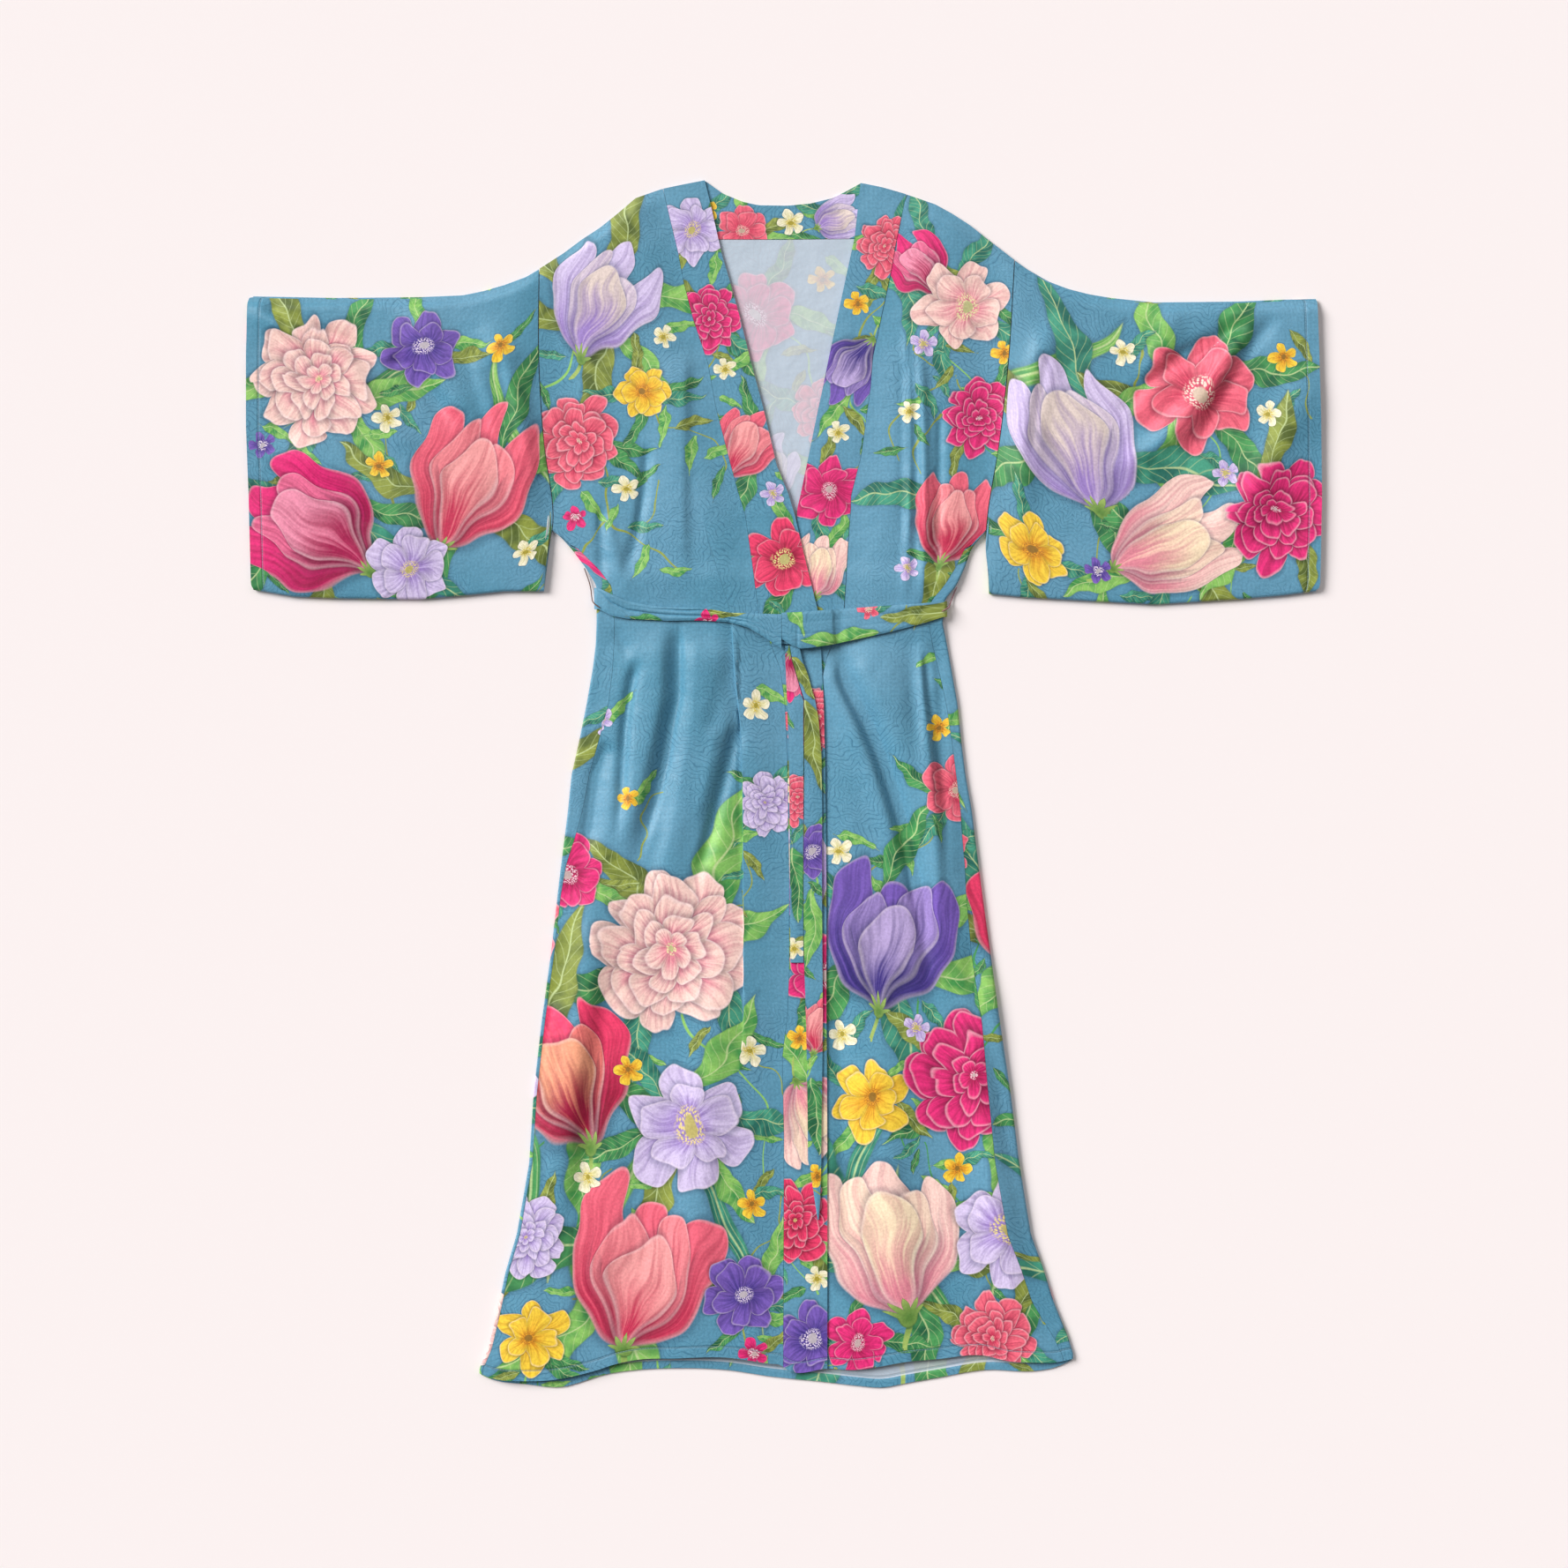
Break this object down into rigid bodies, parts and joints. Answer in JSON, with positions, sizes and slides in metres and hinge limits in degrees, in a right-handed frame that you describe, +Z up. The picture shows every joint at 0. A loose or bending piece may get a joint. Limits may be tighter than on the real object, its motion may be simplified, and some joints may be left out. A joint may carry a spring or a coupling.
{
  "type": "kimono robe",
  "caption": "Long flower-print satin kimono robe with wide sleeves, laid flat on its back, its front wrapped over and its own belt tied.",
  "frame": {"origin": "middle of the robe's outline, on the surface that it lies on", "axes": "+Z up, out of the front of the robe; +Y towards the neck; +X to the right as seen from above with the neck away from the viewer"},
  "size_m": [1.2178, 1.3681, 0.0143],
  "materials": {
    "satin": "soft satin viscose with a flower print",
    "band_satin": "the same satin, doubled",
    "belt_satin": "the same satin, doubled and pressed",
    "thread": "matt chained thread"
  },
  "bodies": {
    "root": {"back_panel": "satin", "front_left": "satin", "front_right": "satin", "sleeve_left": "satin", "sleeve_right": "satin", "band_left": "band_satin", "band_right": "band_satin", "band_neck": "band_satin", "belt_back": "belt_satin", "belt_left": "belt_satin", "belt_right": "belt_satin", "belt_knot": "belt_satin", "belt_fall": "belt_satin", "belt_tail_short": "belt_satin", "belt_tail_long": "belt_satin", "loop_left": "thread", "loop_right": "thread"}
  },
  "joints": []
}
